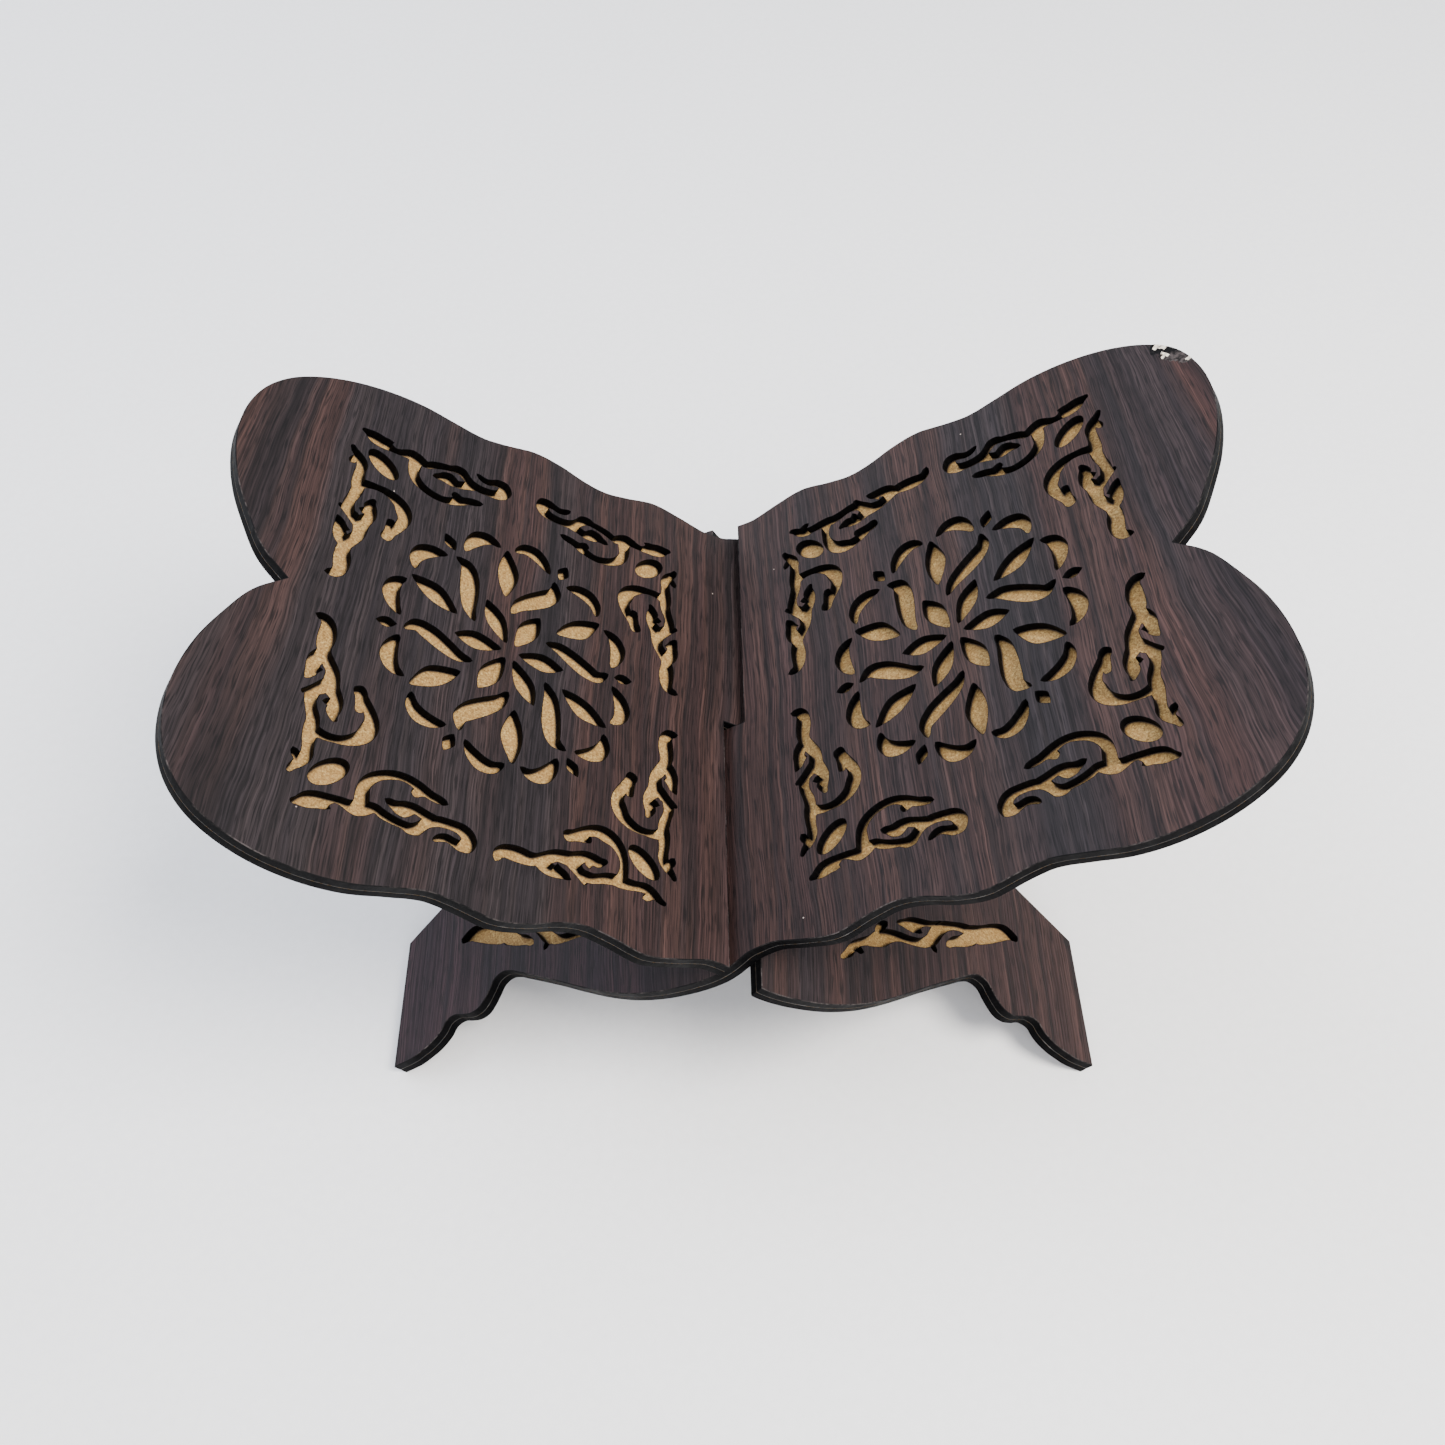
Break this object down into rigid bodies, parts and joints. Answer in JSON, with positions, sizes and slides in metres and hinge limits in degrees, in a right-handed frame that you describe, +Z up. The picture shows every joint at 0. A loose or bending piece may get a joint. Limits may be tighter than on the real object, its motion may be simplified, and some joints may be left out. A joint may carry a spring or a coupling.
{
  "type": "folding book stand",
  "caption": "Low X-shaped folding book stand of slotted laminate boards with laser-cut scrollwork over a pale backing; holds an open book.",
  "frame": {"origin": "on the floor, under the middle of the axis on which the boards cross", "axes": "+X towards the right-hand wing, the wings' valley runs along Y with the reader at -Y, +Z up"},
  "size_m": [0.2996, 0.1892, 0.1723],
  "materials": {
    "walnut_laminate": "dark walnut laminate on fibreboard, satin, with charred laser-cut walls",
    "fibreboard": "raw fibreboard, matt, with charred laser-cut edges"
  },
  "bodies": {
    "board_a": {"board_a_fret": "walnut_laminate", "board_a_backing": "fibreboard"},
    "board_b": {"board_b_fret": "walnut_laminate", "board_b_backing": "fibreboard"}
  },
  "joints": [
    {"name": "crossing", "type": "hinge", "parent": "board_a", "child": "board_b", "pos_m": [0, 0, 0.07606], "axis": [0, 1, 0], "range_deg": [-50, 0]}
  ]
}
